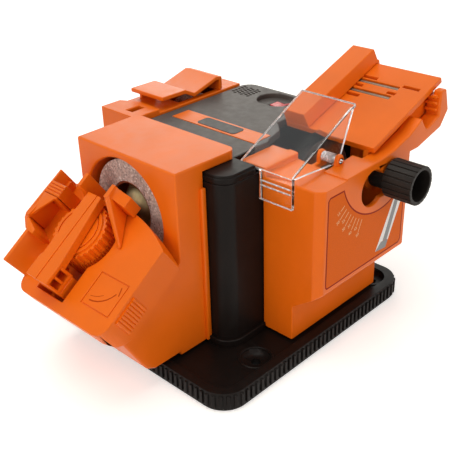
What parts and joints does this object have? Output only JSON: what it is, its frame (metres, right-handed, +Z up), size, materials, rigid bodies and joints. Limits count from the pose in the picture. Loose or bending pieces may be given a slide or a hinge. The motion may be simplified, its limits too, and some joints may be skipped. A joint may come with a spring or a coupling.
{
  "type": "multi-purpose bench sharpener",
  "caption": "Motor-driven bench sharpener with a drill, a chisel and a knife station round a motor housing on a ribbed base plate.",
  "frame": {"origin": "middle of the base plate's underside, where the machine stands on the bench", "axes": "+Z up, +X along the motor away from the drill station, +Y towards the knife station"},
  "size_m": [0.1994, 0.1607, 0.1272],
  "materials": {
    "orange_plastic": "moulded satin",
    "black_plastic": "moulded satin",
    "grey_cover": "fine textured",
    "red_plastic": "gloss",
    "clear_plastic": "clear",
    "abrasive": "bonded grit",
    "olive_zinc": "passivated",
    "copper": "plain",
    "steel": "ground",
    "core_steel": "laminated",
    "rubber": "plain",
    "carbon": "plain"
  },
  "bodies": {
    "machine": {"base_plate": "black_plastic", "rubber_pads": "rubber", "motor_housing": "black_plastic", "top_cover": "grey_cover", "label_strip": "orange_plastic", "label_field": "grey_cover", "housing_screws": "steel", "drill_housing": "orange_plastic", "chisel_housing": "orange_plastic", "knife_housing": "orange_plastic", "knife_hold_down": "orange_plastic", "bearing_frame": "core_steel", "motor_cradle": "black_plastic", "stator": "steel", "field_coils": "copper", "brush_holders": "carbon", "carbon_brushes": "carbon", "motor_bearings": "steel", "cross_bearings": "steel", "switch_body": "black_plastic", "cord_inlet": "black_plastic", "guard_pin": "clear_plastic"},
    "rotor": {"motor_shaft": "steel", "armature": "core_steel", "commutator": "copper", "cooling_fan": "black_plastic", "drive_bevel_gear": "core_steel", "drill_wheel": "abrasive", "drill_wheel_bush": "copper", "drill_wheel_nut": "olive_zinc"},
    "side_drive": {"cross_shaft": "steel", "driven_bevel_gear": "core_steel", "chisel_wheel": "abrasive", "chisel_wheel_hub": "olive_zinc", "knife_wheel": "abrasive", "knife_wheel_hub": "olive_zinc"},
    "rocker": {"switch_rocker": "red_plastic"},
    "holder": {"drill_holder": "orange_plastic"},
    "dial": {"size_dial": "orange_plastic", "dial_ring": "orange_plastic"},
    "left_jaw": {"left_jaw": "orange_plastic"},
    "right_jaw": {"right_jaw": "orange_plastic"},
    "feed_bar": {"feed_bar": "orange_plastic"},
    "latch": {"holder_latch": "orange_plastic"},
    "tilt_plate": {"chisel_plate": "orange_plastic", "guide_rods": "steel"},
    "fence": {"chisel_fence": "orange_plastic"},
    "knob": {"lock_knob": "black_plastic"},
    "guard": {"guard": "clear_plastic"}
  },
  "joints": [
    {"name": "motor_spin", "type": "hinge", "parent": "machine", "child": "rotor", "pos_m": [0, 0.009, 0.074], "axis": [1, 0, 0], "continuous": true},
    {"name": "side_spin", "type": "hinge", "parent": "machine", "child": "side_drive", "pos_m": [0.029, 0, 0.074], "axis": [0, 1, 0], "continuous": true},
    {"name": "switch_rock", "type": "hinge", "parent": "machine", "child": "rocker", "pos_m": [0.0515, 0.0055, 0.0939], "axis": [1, 0, 0], "range_deg": [0, 14]},
    {"name": "holder_swivel", "type": "hinge", "parent": "machine", "child": "holder", "pos_m": [-0.07754, 0.005, 0.04735], "axis": [-0.5736, 0, 0.8192], "range_deg": [-5, 5]},
    {"name": "dial_turn", "type": "hinge", "parent": "holder", "child": "dial", "pos_m": [-0.07869, 0.0132, 0.0673], "axis": [-0.5736, 0, 0.8192], "range_deg": [0, 120]},
    {"name": "left_jaw_slide", "type": "slide", "parent": "holder", "child": "left_jaw", "axis": [0, 1, 0], "range_m": [0, 0.004]},
    {"name": "right_jaw_slide", "type": "slide", "parent": "holder", "child": "right_jaw", "axis": [0, -1, 0], "range_m": [0, 0.004]},
    {"name": "feed_slide", "type": "slide", "parent": "holder", "child": "feed_bar", "axis": [0.8192, 0, 0.5736], "range_m": [0, 0.004]},
    {"name": "latch_slide", "type": "slide", "parent": "holder", "child": "latch", "axis": [0.8192, 0, 0.5736], "range_m": [0, 0.003]},
    {"name": "plate_tilt", "type": "hinge", "parent": "machine", "child": "tilt_plate", "pos_m": [0.029, -0.04, 0.0996], "axis": [0, -1, 0], "range_deg": [0, 28]},
    {"name": "fence_slide", "type": "slide", "parent": "tilt_plate", "child": "fence", "axis": [0, -1, 0], "range_m": [0, 0.014]},
    {"name": "knob_turn", "type": "hinge", "parent": "machine", "child": "knob", "pos_m": [0.0375, -0.084, 0.0838], "axis": [0, 1, 0], "range_deg": [-90, 0]},
    {"name": "guard_lift", "type": "hinge", "parent": "machine", "child": "guard", "pos_m": [0.0125, -0.046, 0.097], "axis": [0, 1, 0], "range_deg": [0, 12]}
  ],
  "couplings": [
    {"joint": "side_spin", "follows": "motor_spin", "ratio": 1},
    {"joint": "left_jaw_slide", "follows": "dial_turn", "m_per_rad": 0.0019099},
    {"joint": "right_jaw_slide", "follows": "dial_turn", "m_per_rad": 0.0019099}
  ]
}
